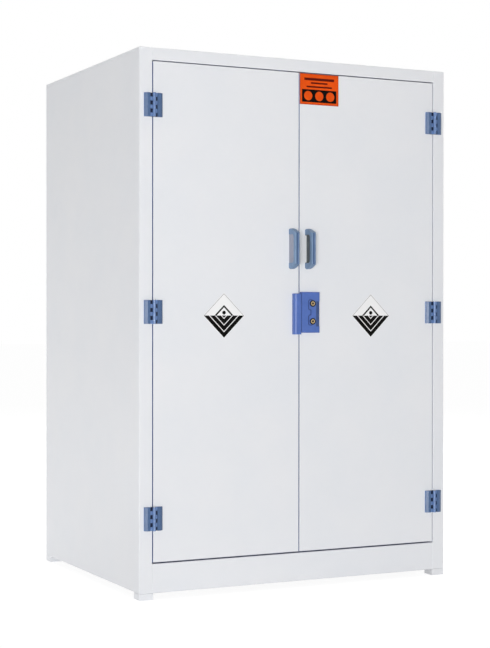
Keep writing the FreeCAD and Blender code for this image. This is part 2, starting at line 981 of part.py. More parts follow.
def diamond_sticker(x):
    half = diamond_diagonal / 2
    z = base_z + diamond_above_base
    outline = [(-half, 0), (0, -half), (half, 0), (0, half)]
    corners = [Vector(x + across, reach(0), z + up) for across, up in outline]
    return polygon_prism(corners, Vector(0, -sticker, 0))


def caution_sticker():
    x = free_edge_x + caution_margin
    top = door_top - caution_margin
    return box(x, x + caution_width, reach(0), reach(sticker), top - caution_height, top)


def build_stickers():
    save("left_diamond_sticker", [diamond_sticker(-diamond_offset)])
    save("right_diamond_sticker", [diamond_sticker(diamond_offset)])
    save("caution_sticker", [caution_sticker()])


def main():
    os.makedirs("parts", exist_ok=True)
    build_carcass(hinge_screw_places(-hinge_axis_x - screw_offset))
    build_hinges()
    right_handle_screws = [(x, z, 0) for x, z in handle_screw_places()]
    left_handle_screws = [(-x, z, 0) for x, z in handle_screw_places()]
    build_door("left", left_handle_screws + [(x, z, 0) for x, z in keeper_screw_places()])
    build_door("right", right_handle_screws + [(x, z, 0) for x, z in lock_screw_places()])
    build_handles()
    build_lock()
    build_interior()
    build_stickers()


main()
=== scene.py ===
import bmesh
import bpy
import json
import math
from mathutils import Matrix, Vector


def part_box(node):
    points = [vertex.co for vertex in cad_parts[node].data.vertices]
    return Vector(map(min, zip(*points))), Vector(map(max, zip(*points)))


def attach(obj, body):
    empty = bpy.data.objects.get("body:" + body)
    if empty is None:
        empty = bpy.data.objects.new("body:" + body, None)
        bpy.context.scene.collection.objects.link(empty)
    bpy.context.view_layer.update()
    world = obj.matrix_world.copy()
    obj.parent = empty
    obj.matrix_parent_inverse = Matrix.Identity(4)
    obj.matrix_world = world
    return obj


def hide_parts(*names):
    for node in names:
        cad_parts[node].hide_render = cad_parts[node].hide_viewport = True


# Two-door reagent cabinet in white plastic sheet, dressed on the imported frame. Lengths are in metres.
# X runs along the front to the right, Y runs into the cabinet and Z is up.

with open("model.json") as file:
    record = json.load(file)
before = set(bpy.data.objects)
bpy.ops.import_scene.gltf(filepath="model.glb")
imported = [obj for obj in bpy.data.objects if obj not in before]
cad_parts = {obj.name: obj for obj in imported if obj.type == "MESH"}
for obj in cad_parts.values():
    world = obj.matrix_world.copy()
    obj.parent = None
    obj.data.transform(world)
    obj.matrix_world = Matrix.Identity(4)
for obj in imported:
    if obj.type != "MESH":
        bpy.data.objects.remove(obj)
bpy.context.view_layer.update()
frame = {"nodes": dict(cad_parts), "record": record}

mm = 0.001
node_body = {node: body for body, nodes in frame["record"]["behaviour"]["bodies"].items() for node in nodes}
node_slot = {part["node"]: part["material_slot"] for part in frame["record"]["subparts"]}

# Planes of the cabinet, read from its sheets
side_low, side_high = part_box("left_side_panel")
sheet = side_high.x - side_low.x
side_x = -side_low.x
front_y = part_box("left_stile")[0].y
back_y = side_high.y
base_z = side_low.z
top_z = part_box("top_panel")[1].z


# Materials

noise_low = 0.3
noise_high = 0.7
grain_detail = 3.0
wave_detail = 1.0
gloss_patch_share = 1 / 3


def screen(red, green, blue):
    """A shader colour from its three screen values, 0 to 255, by the usual screen curve."""
    def linear(value):
        share = value / 255
        return share / 12.92 if share <= 0.04045 else ((share + 0.055) / 1.055) ** 2.4

    return (linear(red), linear(green), linear(blue), 1.0)


def noise(tree, size, detail=grain_detail):
    """Noise in the piece's own coordinates, with features of about this size."""
    place = tree.nodes.new("ShaderNodeTexCoord")
    texture = tree.nodes.new("ShaderNodeTexNoise")
    texture.inputs["Scale"].default_value = 1 / size
    texture.inputs["Detail"].default_value = detail
    tree.links.new(place.outputs["Object"], texture.inputs["Vector"])
    return texture.outputs["Fac"]


def spread(tree, value, low, high):
    """Noise stretched over a range, since it keeps near its middle."""
    ranged = tree.nodes.new("ShaderNodeMapRange")
    ranged.inputs["From Min"].default_value = noise_low
    ranged.inputs["From Max"].default_value = noise_high
    ranged.inputs["To Min"].default_value = low
    ranged.inputs["To Max"].default_value = high
    tree.links.new(value, ranged.inputs["Value"])
    return ranged.outputs["Result"]


def bump(tree, height, depth, below=None):
    """A normal from a height of this depth, laid over another normal where one is given."""
    node = tree.nodes.new("ShaderNodeBump")
    node.inputs["Distance"].default_value = depth
    tree.links.new(height, node.inputs["Height"])
    if below:
        tree.links.new(below, node.inputs["Normal"])
    return node.outputs["Normal"]


# Grain and waves, each as the size of a feature and its depth
sheet_waves = (45 * mm, 0.05 * mm)
sheet_grain = (1.1 * mm, 0.006 * mm)
moulded_grain = (0.5 * mm, 0.012 * mm)
handle_grain = (0.6 * mm, 0.01 * mm)
lock_grain = (0.6 * mm, 0.012 * mm)
rubber_grain = (0.4 * mm, 0.02 * mm)
band_grain = (0.4 * mm, 0.01 * mm)
film_grain = (0.6 * mm, 0.006 * mm)
steel_grain = (0.3 * mm, 0.004 * mm)
brass_grain = (0.3 * mm, 0.003 * mm)
plated_grain = (0.3 * mm, 0.002 * mm)


def surface(name, light, dark, roughness, patch, grain, waves=None, metallic=0.0, specular=0.5):
    """Two close tones in patches, gloss over a range, a fine grain and, on sheet, long shallow waves."""
    material = bpy.data.materials.new(name)
    material.use_nodes = True
    tree = material.node_tree
    shader = tree.nodes["Principled BSDF"]
    shader.inputs["Metallic"].default_value = metallic
    shader.inputs["Specular IOR Level"].default_value = specular
    mix = tree.nodes.new("ShaderNodeMix")
    mix.data_type = "RGBA"
    mix.inputs["A"].default_value = screen(*light)
    mix.inputs["B"].default_value = screen(*dark)
    tree.links.new(spread(tree, noise(tree, patch), 0, 1), mix.inputs["Factor"])
    tree.links.new(mix.outputs["Result"], shader.inputs["Base Color"])
    gloss = spread(tree, noise(tree, patch * gloss_patch_share), *roughness)
    tree.links.new(gloss, shader.inputs["Roughness"])
    normal = None
    if waves:
        normal = bump(tree, noise(tree, waves[0], wave_detail), waves[1])
    normal = bump(tree, noise(tree, grain[0]), grain[1], normal)
    tree.links.new(normal, shader.inputs["Normal"])
    return material


white = surface(
    "white_sheet", (229, 230, 233), (226, 228, 232), roughness=(0.34, 0.44), patch=160 * mm,
    grain=sheet_grain, waves=sheet_waves
)
hinge_blue = surface(
    "hinge_plastic", (72, 100, 140), (62, 90, 130), roughness=(0.34, 0.46), patch=12 * mm,
    grain=moulded_grain
)
# A lighter copy of the hinge's blue for the knuckles and plates: painted light, as if the barrel were lit
# from the left
barrel_painted_light = surface(
    "hinge_barrel_painted_light", (104, 134, 182), (96, 124, 172), roughness=(0.3, 0.4), patch=10 * mm,
    grain=moulded_grain
)
# Dark navy for the strip beside the pin: painted shade, where the notches between the knuckles lie in shadow
notch_painted_shade = surface(
    "hinge_notch_painted_shade", (14, 28, 60), (10, 22, 50), roughness=(0.4, 0.5), patch=10 * mm,
    grain=moulded_grain
)
handle_blue = surface(
    "handle_plastic", (120, 146, 178), (110, 136, 168), roughness=(0.38, 0.48), patch=20 * mm,
    grain=handle_grain, specular=0.35
)
# A darker copy of the handle's blue for the scoop: painted shade, where the scoop's flank turns from the
# light
scoop_painted_shade = surface(
    "handle_scoop_painted_shade", (78, 104, 142), (70, 96, 134), roughness=(0.38, 0.48), patch=20 * mm,
    grain=handle_grain, specular=0.35
)
insert_grey = surface(
    "insert_plastic", (150, 154, 170), (142, 146, 163), roughness=(0.4, 0.5), patch=20 * mm,
    grain=moulded_grain
)
# The insert's grey made darker: painted shade in the finger hollow
hollow_painted_shade = surface(
    "handle_hollow_painted_shade", (84, 90, 94), (76, 82, 86), roughness=(0.5, 0.6), patch=20 * mm, grain=moulded_grain
)
lock_blue = surface(
    "lock_plastic", (76, 106, 178), (70, 100, 170), roughness=(0.3, 0.42), patch=14 * mm, grain=lock_grain
)
# Dark navy in the lock's groove: painted shade
groove_painted_shade = surface(
    "lock_groove_painted_shade", (20, 34, 92), (16, 28, 80), roughness=(0.45, 0.55), patch=14 * mm,
    grain=lock_grain
)
# A darker copy of the lock's blue on the recess's slope: painted shade, where the slope turns from the light
recess_painted_shade = surface(
    "lock_recess_painted_shade", (50, 76, 128), (44, 68, 118), roughness=(0.45, 0.55), patch=14 * mm,
    grain=lock_grain
)
seal_blue = surface(
    "seal_rubber", (58, 80, 130), (50, 72, 120), roughness=(0.55, 0.7), patch=20 * mm, grain=rubber_grain
)
band_blue = surface(
    "edge_band", (72, 108, 180), (64, 98, 168), roughness=(0.5, 0.6), patch=20 * mm, grain=band_grain
)
steel = surface(
    "steel", (190, 192, 194), (176, 178, 180), roughness=(0.25, 0.4), patch=6 * mm, grain=steel_grain,
    metallic=1.0
)
barrel_metal = surface(
    "dark_plated_barrel", (62, 62, 66), (50, 50, 54), roughness=(0.2, 0.3), patch=4 * mm, grain=plated_grain,
    metallic=1.0
)
brass = surface(
    "brass", (206, 184, 146), (190, 166, 126), roughness=(0.22, 0.34), patch=4 * mm, grain=brass_grain,
    metallic=1.0
)
# Near black for the plug's dish and keyway: painted shade in the hole
keyway_painted_shade = surface(
    "keyway", (16, 15, 14), (10, 9, 9), roughness=(0.5, 0.6), patch=4 * mm, grain=film_grain, specular=0.2
)
film_white = surface(
    "white_film", (240, 240, 240), (237, 237, 238), roughness=(0.4, 0.5), patch=30 * mm, grain=film_grain,
    specular=0.3
)
film_orange = surface(
    "orange_film", (230, 84, 12), (222, 76, 8), roughness=(0.45, 0.55), patch=20 * mm, grain=film_grain,
    specular=0.15
)


def ink(name, light, dark, specular):
    """A matt print on a film."""
    return surface(
        name, light, dark, roughness=(0.5, 0.6), patch=10 * mm, grain=film_grain, specular=specular
    )


print_black = ink("black_print", (9, 8, 7), (6, 5, 5), 0.05)
print_grey = ink("grey_print", (172, 172, 174), (162, 162, 165), 0.1)
print_brown = ink("brown_print", (92, 18, 4), (80, 12, 2), 0.1)
print_edge = ink("dark_orange_print", (184, 62, 16), (176, 56, 12), 0.1)

slot_material = {
    "white_plastic": white,
    "hinge_blue_plastic": hinge_blue,
    "handle_blue_plastic": handle_blue,
    "lock_blue_plastic": lock_blue,
    "blue_seal": seal_blue,
    "steel": steel,
    "dark_barrel": barrel_metal,
    "brass": brass,
    "black_white_sticker": film_white,
    "orange_sticker": film_orange,
}


# Mesh helpers

join_distance = 0.002 * mm
flat_angle = math.radians(0.5)
flat_cosine = math.cos(math.radians(1.0))
crease_angle = math.radians(25)
rounding_steps = 4
round_profile = 0.5
turned_sides = 40


def mesh_data(name, mesh):
    """Mesh data from a working mesh, which is given up."""
    data = bpy.data.meshes.new(name)
    mesh.to_mesh(data)
    mesh.free()
    return data


def placed(name, data):
    """An object with this data, put into the scene."""
    made = bpy.data.objects.new(name, data)
    bpy.context.scene.collection.objects.link(made)
    return made


def changed(mesh, kind, **settings):
    """A mesh with one modifier worked out. The old mesh is given up."""
    data = mesh_data("raw", mesh)
    raw = placed("raw", data)
    modifier = raw.modifiers.new("change", kind)
    for name, value in settings.items():
        setattr(modifier, name, value)
    result = bmesh.new()
    result.from_object(raw, bpy.context.evaluated_depsgraph_get())
    bpy.data.objects.remove(raw)
    bpy.data.meshes.remove(data)
    return result


def rounded(mesh, radius_of):
    """Rounds each crease by its own radius, which is a number or a function of the edge."""
    weights = mesh.edges.layers.float.new("bevel_weight_edge")
    wanted = {}
    for edge in mesh.edges:
        angle = edge.calc_face_angle(0.0) if len(edge.link_faces) == 2 else 0.0
        radius = radius_of(edge) if callable(radius_of) else radius_of
        if angle >= crease_angle and radius:
            wanted[edge] = radius
    if not wanted:
        return mesh
    largest = max(wanted.values())
    for edge, radius in wanted.items():
        edge[weights] = radius / largest
    return changed(mesh, "BEVEL", limit_method="WEIGHT", width=largest, segments=rounding_steps)


def combined(mesh, other, operation):
    """A closed mesh cut by another, or what the two share. Both are given up."""
    data = mesh_data("other", other)
    tool = placed("other", data)
    result = changed(mesh, "BOOLEAN", operation=operation, object=tool, solver="EXACT")
    bpy.data.objects.remove(tool)
    bpy.data.meshes.remove(data)
    return result


def flat_regions(mesh):
    """The flat region that each face is in, and the area of each region."""
    region = {}
    areas = []
    for face in mesh.faces:
        if face in region:
            continue
        region[face] = len(areas)
        areas.append(0.0)
        found = [face]
        while found:
            current = found.pop()
            areas[-1] += current.calc_area()
            for edge in current.edges:
                for near in edge.link_faces:
                    if near not in region and near.normal.dot(current.normal) > flat_cosine:
                        region[near] = region[current]
                        found.append(near)
    return region, areas


def fan_of(face, vertex, left):
    """The faces round a vertex that smooth edges join to this one, taken out of those left."""
    fan = [face]
    found = [face]
    while found:
        current = found.pop()
        for edge in current.edges:
            if edge.smooth and vertex in edge.verts:
                for near in edge.link_faces:
                    if near in left:
                        left.remove(near)
                        fan.append(near)
                        found.append(near)
    return fan


def corner_normals(mesh):
    """A normal for each corner of each face, so that flat faces stay flat beside round edges."""
    region, areas = flat_regions(mesh)
    normals = {}
    for vertex in mesh.verts:
        left = set(vertex.link_faces)
        for face in list(vertex.link_faces):
            if face not in left:
                continue
            left.remove(face)
            fan = fan_of(face, vertex, left)
            sides = {region[near]: near.normal for near in fan}
            total = sum((areas[number] * normal for number, normal in sides.items()), Vector())
            for near in fan:
                normals[near, vertex] = total.normalized()
    return [normals[face, corner.vert] for face in mesh.faces for corner in face.loops]


def stand_in(node, mesh, materials=None, name=None):
    """Makes a closed mesh the piece that stands for a node, in the node's finish unless others are given."""
    bmesh.ops.recalc_face_normals(mesh, faces=mesh.faces)
    mesh.normal_update()
    for edge in mesh.edges:
        edge.smooth = len(edge.link_faces) == 2 and edge.calc_face_angle(0.0) < crease_angle
    for face in mesh.faces:
        face.smooth = True
    normals = corner_normals(mesh)
    name = name or "finished_" + node
    data = mesh_data(name, mesh)
    data.normals_split_custom_set(normals)
    for material in materials or [slot_material[node_slot[node]]]:
        data.materials.append(material)
    shown = placed(name, data)
    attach(shown, node_body[node])
    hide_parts(node)


def cad_mesh(node, whole=True):
    """A bmesh of a node with its doubled corners joined and, where it has no holes, its flat faces whole."""
    mesh = bmesh.new()
    mesh.from_mesh(frame["nodes"][node].data)
    bmesh.ops.remove_doubles(mesh, verts=mesh.verts, dist=join_distance)
    if whole:
        bmesh.ops.dissolve_limit(mesh, angle_limit=flat_angle, verts=mesh.verts, edges=mesh.edges)
    return mesh


def dressed(node, radius_of):
    """A node without holes, with round edges and its finish."""
    stand_in(node, rounded(cad_mesh(node), radius_of))


def plain(node):
    """A node with holes, with its finish and its edges as they are."""
    stand_in(node, cad_mesh(node, whole=False))


def islands(mesh):
    """The separate solids of a mesh, each as a list of its vertices."""
    left = set(mesh.verts)
    groups = []
    for start in mesh.verts:
        if start not in left:
            continue
        left.remove(start)
        group = [start]
        for vertex in group:
            for edge in vertex.link_edges:
                near = edge.other_vert(vertex)
                if near in left:
                    left.remove(near)
                    group.append(near)
        groups.append(group)
    return groups


def middle_of(node):
    """The middle of a node's box."""
    low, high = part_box(node)
    return (low + high) / 2


def round_edges(mesh, edges, radius):
    """Rounds some edges of a working mesh in place."""
    bmesh.ops.bevel(
        mesh, geom=list(edges), offset=radius, segments=rounding_steps, profile=round_profile, affect="EDGES"
    )


def block(mesh, corner, opposite, radius=0.0, material=0):
    """Adds a box between two opposite corners, its edges rounded."""
    low = Vector(map(min, corner, opposite))
    high = Vector(map(max, corner, opposite))
    placing = Matrix.Translation((low + high) / 2) @ Matrix.Diagonal((*(high - low), 1))
    made = bmesh.ops.create_cube(mesh, size=1, matrix=placing)
    for vertex in made["verts"]:
        for face in vertex.link_faces:
            face.material_index = material
    if radius:
        round_edges(mesh, {edge for vertex in made["verts"] for edge in vertex.link_edges}, radius)


def skin(mesh, loops):
    """Adds the faces between each loop of corners and the next one, and gives them."""
    faces = []
    for here, there in zip(loops, loops[1:]):
        for number in range(len(here)):
            after = (number + 1) % len(here)
            faces.append(mesh.faces.new((here[number], here[after], there[after], there[number])))
    return faces


def solid(mesh, loops):
    """Adds a closed solid along loops of corners, and gives its two ends and its sides."""
    ends = [mesh.faces.new(loops[0][::-1]), mesh.faces.new(loops[-1])]
    return ends, skin(mesh, loops)


def prism(mesh, points, along, material=0, radius=0.0):
    """Adds a prism, an outline of 3-D points moved along a vector, and rounds its ends and its corners."""
    start = [mesh.verts.new(point) for point in points]
    end = [mesh.verts.new(Vector(point) + along) for point in points]
    ends, sides = solid(mesh, [start, end])
    for face in ends + sides:
        face.material_index = material
    if radius:
        bmesh.ops.recalc_face_normals(mesh, faces=ends + sides)
        edges = {edge for face in ends for edge in face.edges}
        for edge in (mesh.edges.get(pair) for pair in zip(start, end)):
            if edge.calc_face_angle(0.0) >= crease_angle:
                edges.add(edge)
        round_edges(mesh, edges, radius)


def arc(middle_x, middle_y, radius, start, end, steps):
    """Points along an arc in a plane, its angles in degrees."""
    angles = [math.radians(start + (end - start) * step / steps) for step in range(steps + 1)]
    return [(middle_x + radius * math.cos(angle), middle_y + radius * math.sin(angle)) for angle in angles]


def circle(middle_x, middle_y, radius, sides):
    """The corners of a regular outline in a plane."""
    return arc(middle_x, middle_y, radius, 0, 360, sides)[:-1]


def rectangle(mesh, low, high, y, inset):
    """Four corners in a plane square to Y, this far inside the outline of a box."""
    left = low.x + inset
    right = high.x - inset
    bottom = low.z + inset
    top = high.z - inset
    corners = ((left, bottom), (right, bottom), (right, top), (left, top))
    return [mesh.verts.new((x, y, z)) for x, z in corners]


def ring(mesh, low, high, width, radius=0.0):
    """Adds a flat rectangular ring that lies along X and Z, with mitred corners."""
    section = ((low.y, 0.0), (low.y, width), (high.y, width), (high.y, 0.0))
    loops = [rectangle(mesh, low, high, y, inset) for y, inset in section]
    skin(mesh, loops + loops[:1])
    if radius:
        pairs = [pair for loop in loops for pair in zip(loop, loop[1:] + loop[:1])]
        round_edges(mesh, [mesh.edges.get(pair) for pair in pairs], radius)


def lathe(mesh, x, z, profile):
    """Adds a turned ring about a line square to the front. The profile's points are (radius, reach)."""
    loops = [
        [mesh.verts.new((across, front_y - reach, up)) for across, up in circle(x, z, radius, turned_sides)]
        for radius, reach in profile
    ]
    skin(mesh, loops + loops[:1])


# Carcass

corner_radius = 1.8 * mm
seam_radius = 1.3 * mm
sheet_edge_radius = 0.8 * mm
plane_tolerance = 0.05 * mm
seal_width = 12 * mm
seal_lip_share = 0.45


def on_outer_planes(point):
    """How many outer planes of the body a point lies on."""
    gaps = (
        abs(abs(point.x) - side_x),
        abs(point.y - front_y),
        abs(point.y - back_y),
        abs(point.z - base_z),
        abs(point.z - top_z),
    )
    return sum(gap < plane_tolerance for gap in gaps)


def carcass_radius(edge):
    """Large at the body's own corners, smaller where two sheets meet flush, and none inside."""
    planes = on_outer_planes((edge.verts[0].co + edge.verts[1].co) / 2)
    if planes >= 2:
        return corner_radius
    return seam_radius if planes == 1 else 0.0


def stile(side):
    """The front plate, with the jamb, the web and the stop behind it as welded strips."""
    node = side + "_stile"
    low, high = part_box(node)
    seal_low, seal_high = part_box("opening_seal")
    hand = -1 if side == "left" else 1
    outer = hand * side_x
    inner = outer - hand * sheet
    opening = hand * seal_high.x
    jamb = opening + hand * sheet
    tip = low.x if hand > 0 else high.x
    stop_front = seal_high.y
    stop_width = abs(tip - opening)
    plate_back = front_y + sheet

    mesh = bmesh.new()
    block(mesh, (outer, front_y, low.z), (opening, plate_back, high.z))
    mesh = rounded(mesh, carcass_radius)
    outline = [(opening, plate_back), (jamb, plate_back), (jamb, stop_front)]
    outline += [(inner, stop_front), (inner, high.y), (opening, high.y)]
    points = [(x, y, low.z + sheet) for x, y in outline]
    prism(mesh, points, Vector((0, 0, high.z - low.z - 2 * sheet)))
    block(mesh, (opening, stop_front, seal_low.z + stop_width), (tip, high.y, seal_high.z - stop_width))
    stand_in(node, mesh)


def seal():
    """A soft ring with round lips, on the door stop."""
    low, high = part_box("opening_seal")
    mesh = bmesh.new()
    ring(mesh, low, high, seal_width, (high.y - low.y) * seal_lip_share)
    stand_in("opening_seal", mesh)


outer_sheets = (
    "left_side_panel", "right_side_panel", "top_panel", "top_rail", "bottom_rail", "back_panel", "base_panel"
)
inner_pieces = ("floor_panel", "floor_bearers", "feet", "spill_tray", "shelf_clips")
shelves = ("lower_shelf", "middle_shelf", "upper_shelf")
for node in outer_sheets:
    dressed(node, carcass_radius)
for node in inner_pieces + shelves:
    dressed(node, sheet_edge_radius)
plain("shelf_standards")
for side in ("left", "right"):
    stile(side)
seal()


# Doors

skin_edge_radius = 0.6 * mm
screw_edge_radius = 0.3 * mm


def door_face(side):
    """The outer skin. Its round front edge overlaps the band, and the rest of it lies inside the band."""
    node = side + "_door_outer_panel"
    low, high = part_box(node)
    band_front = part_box(side + "_door_edge_band")[0].y
    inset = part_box(side + "_door_core")[0].x - low.x
    radius = skin_edge_radius
    section = arc(low.y + radius, radius, radius, 180, 270, rounding_steps)
    section += [(band_front, 0.0), (band_front, inset), (high.y, inset)]
    mesh = bmesh.new()
    solid(mesh, [rectangle(mesh, low, high, y, gap) for y, gap in section])
    stand_in(node, mesh)


def door_back(side):
    """The inner skin."""
    node = side + "_door_inner_panel"
    mesh = bmesh.new()
    block(mesh, *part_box(node), sheet_edge_radius)
    stand_in(node, mesh)


def door_band(side):
    """The blue band round the door's edge, as wide as the core lies inside it."""
    node = side + "_door_edge_band"
    low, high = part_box(node)
    mesh = bmesh.new()
    ring(mesh, low, high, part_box(side + "_door_core")[0].x - low.x)
    stand_in(node, mesh, [band_blue])


for side in ("left", "right"):
    door_face(side)
    door_back(side)
    door_band(side)
    plain(side + "_door_core")
    dressed(side + "_door_screws", screw_edge_radius)


# Hinges

leaf_radius = 0.4 * mm
strip_inset = leaf_radius / 4
cover_radius = 0.7 * mm
knuckle_radius = 0.35 * mm
pin_edge_radius = 0.3 * mm
knuckles = 6
knuckle_clearance = 0.3 * mm
leaf_gap = 2 * mm
web_step = 2.5 * mm
barrel_steps = 28


def hinge_leaf(side, place, leaf):
    """The plate on the door or frame, a strip beside the pin in painted shade, and its own knuckles with
    their webs in a lighter tone of painted light.
    """
    node = f"{side}_{place}_{leaf}_leaf"
    low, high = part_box(node)
    axis = middle_of(side + "_hinge_pins")
    cover_low, cover_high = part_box(side + "_door_leaf_covers")
    barrel = axis.y - low.y
    hand = 1 if abs(high.x - axis.x) > abs(low.x - axis.x) else -1
    outer = high.x if hand > 0 else low.x
    cover_inner = min(abs(cover_low.x - axis.x), abs(cover_high.x - axis.x))
    covered = axis.x + hand * cover_inner
    plate_front = cover_high.y
    web_front = cover_low.y + web_step
    root = leaf_gap / 2

    mesh = bmesh.new()
    block(mesh, (covered, plate_front, low.z), (outer, front_y, high.z), leaf_radius)
    # The strip from the pin to the covers, in painted shade
    block(
        mesh, (axis.x + hand * root, plate_front, low.z + strip_inset),
        (covered + hand * leaf_radius, front_y, high.z - strip_inset), material=1
    )
    lean = math.degrees(math.asin((web_front - axis.y) / barrel))
    outline = [(root, plate_front), (cover_inner, plate_front), (cover_inner, web_front)]
    outline += arc(0.0, axis.y, barrel, lean, -270, barrel_steps)
    outline += [(0.0, front_y), (root, front_y)]
    pitch = (high.z - low.z) / knuckles
    for number in range(0 if hand > 0 else 1, knuckles, 2):
        bottom = high.z - (number + 1) * pitch + knuckle_clearance / 2
        points = [(axis.x + hand * across, y, bottom) for across, y in outline]
        prism(mesh, points, Vector((0, 0, pitch - knuckle_clearance)), radius=knuckle_radius)
    # Knuckles and plates in painted light, the strip beside the pin in painted shade
    stand_in(node, mesh, [barrel_painted_light, notch_painted_shade])


for side in ("left", "right"):
    for place in ("bottom", "middle", "top"):
        for leaf in ("frame", "door"):
            hinge_leaf(side, place, leaf)
    dressed(side + "_hinge_pins", pin_edge_radius)
    dressed(side + "_door_leaf_covers", cover_radius)
dressed("frame_leaf_covers", cover_radius)
stand_in("frame_leaf_screws", cad_mesh("frame_leaf_screws"))


# Handles

scoop_half_width = 4.6 * mm
scoop_start = 0.02 * mm
scoop_depth = 1.7 * mm
closed_side_depth = 1.5 * mm


def handle_solid(node, part):
    """One of a handle's two solids. The shell reaches higher than the insert in it."""
    mesh = cad_mesh(node, whole=False)
    insert, shell = sorted(islands(mesh), key=lambda group: max(vertex.co.z for vertex in group))
    bmesh.ops.delete(mesh, geom=insert if part == "shell" else shell, context="VERTS")
    return mesh


def handle_shell(node):
    """The blue shell, with painted shade in the scoop along its front."""
    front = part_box(node)[0].y
    middle = middle_of(node)
    mesh = handle_solid(node, "shell")
    for face in mesh.faces:
        centre = face.calc_center_median()
        sunk = centre.y - front
        in_scoop = abs(centre.x - middle.x) < scoop_half_width and scoop_start < sunk < scoop_depth
        # Faces in the scoop get the painted shade
        face.material_index = 1 if in_scoop else 0
    stand_in(node, mesh, [handle_blue, scoop_painted_shade], node + "_shell")


def handle_insert(node):
    """The grey insert, with painted shade in the finger hollow."""
    closed_x = max((corner.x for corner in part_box(node)), key=abs)
    mesh = handle_solid(node, "insert")
    for face in mesh.faces:
        on_closed_side = abs(face.calc_center_median().x - closed_x) < closed_side_depth
        # Faces off the closed side, in the hollow, get the painted shade
        face.material_index = 0 if on_closed_side else 1
    stand_in(node, mesh, [insert_grey, hollow_painted_shade], node + "_insert")


for node in ("left_handle", "right_handle"):
    handle_shell(node)
    handle_insert(node)


# Lock and keeper

housing_radius = 0.9 * mm
groove_depth = 2 * mm
groove_left = 12 * mm
groove_margin = 0.2 * mm
slope_width = 13 * mm
slope_start = 0.05 * mm
slope_depth = 3 * mm
slope_lean = 0.03
keeper_bend = 8 * mm
keeper_bend_steps = 12
keeper_radius = 0.8 * mm
pocket_depth = 11 * mm
pocket_clearance = 1 * mm
barrel_bore = 6.55 * mm
barrel_lip = 1.3 * mm
barrel_edge = 0.35 * mm
dish_radius = 3.7 * mm
dish_depth = 0.5 * mm
dish_sides = 32
dish_margin = 0.1 * mm
keyway_depth = 4 * mm


def lock_housing():
    """The housing with its edges rounded, with painted shade in its groove and on its sloped recess."""
    node = "lock_housing"
    low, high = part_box(node)
    key_x = middle_of("upper_key_core").x
    outer = bmesh.new()
    block(outer, low, high, housing_radius)
    mesh = combined(cad_mesh(node, whole=False), outer, "INTERSECT")
    mesh.normal_update()
    for face in mesh.faces:
        middle = face.calc_center_median()
        sunk = middle.y - low.y
        in_groove = groove_margin < sunk < groove_depth + groove_margin
        left_of_keys = low.x + groove_left < middle.x < key_x
        in_recess = middle.x > high.x - slope_width and slope_start < sunk < slope_depth
        sloped = face.normal.x > slope_lean
        # Groove faces and the recess's sloped faces get painted shade
        face.material_index = 1 if in_groove and left_of_keys else 2 if in_recess and sloped else 0
    stand_in(node, mesh, [lock_blue, groove_painted_shade, recess_painted_shade])


def lock_keeper():
    """A block with a round outer edge and a pocket for each bolt."""
    low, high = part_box("lock_keeper")
    bend = keeper_bend
    outline = arc(low.x + bend, low.y + bend, bend, 180, 270, keeper_bend_steps)
    outline += [(high.x, low.y), (high.x, high.y), (low.x, high.y)]
    mesh = bmesh.new()
    prism(mesh, [(x, y, low.z) for x, y in outline], Vector((0, 0, high.z - low.z)), radius=keeper_radius)
    for place in ("lower", "upper"):
        bolt_low, bolt_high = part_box(place + "_bolt")
        middle = middle_of(place + "_key_core").z
        half = middle - bolt_low.z + pocket_clearance
        pocket = bmesh.new()
        block(
            pocket, (high.x - pocket_depth, bolt_low.y - pocket_clearance, middle - half),
            (high.x + pocket_clearance, bolt_high.y + pocket_clearance, middle + half)
        )
        mesh = combined(mesh, pocket, "DIFFERENCE")
    stand_in("lock_keeper", mesh)


def key_barrels():
    """Turned rings round both keyholes, with a chamfered lip."""
    low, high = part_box("lock_barrels")
    radius = (high.x - low.x) / 2
    back = front_y - high.y
    front = front_y - low.y
    lip_radius = barrel_bore + barrel_lip
    lip_front = front - barrel_edge
    profile = [(barrel_bore, back), (barrel_bore, front - barrel_lip), (lip_radius, lip_front)]
    profile += [(lip_radius + barrel_edge, front), (radius - barrel_edge, front), (radius, lip_front)]
    profile.append((radius, back))
    mesh = bmesh.new()
    for z in (low.z + radius, high.z - radius):
        lathe(mesh, (low.x + high.x) / 2, z, profile)
    stand_in("lock_barrels", mesh)


def key_core(place):
    """The turning plug, dished at its front, with painted shade over its dish and inside its keyway."""
    node = place + "_key_core"
    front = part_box(node)[0].y
    middle = middle_of(node)
    dish = bmesh.new()
    placing = Matrix.Translation((middle.x, front, middle.z)) @ Matrix.Rotation(math.pi / 2, 4, "X")
    bmesh.ops.create_cone(
        dish, cap_ends=True, segments=dish_sides, radius1=dish_radius, radius2=dish_radius,
        depth=2 * dish_depth, matrix=placing
    )
    mesh = combined(cad_mesh(node, whole=False), dish, "DIFFERENCE")
    # The dish and the keyway behind it get the painted shade
    for face in mesh.faces:
        centre = face.calc_center_median()
        inside = math.hypot(centre.x - middle.x, centre.z - middle.z) < dish_radius + dish_margin
        face.material_index = 1 if inside and dish_margin < centre.y - front < keyway_depth else 0
    stand_in(node, mesh, [brass, keyway_painted_shade])


lock_housing()
lock_keeper()
key_barrels()
plain("lock_base_plate")
for place in ("upper", "lower"):
    key_core(place)
    plain(place + "_bolt")


# Stickers, each a film with plain generic prints

# Layers of a sticker, and the shares of its thickness at which each one starts and the last one ends
film_layer = 0
print_layer = 1
top_layer = 2
layer_shares = (0.0, 0.55, 0.8, 1.0)


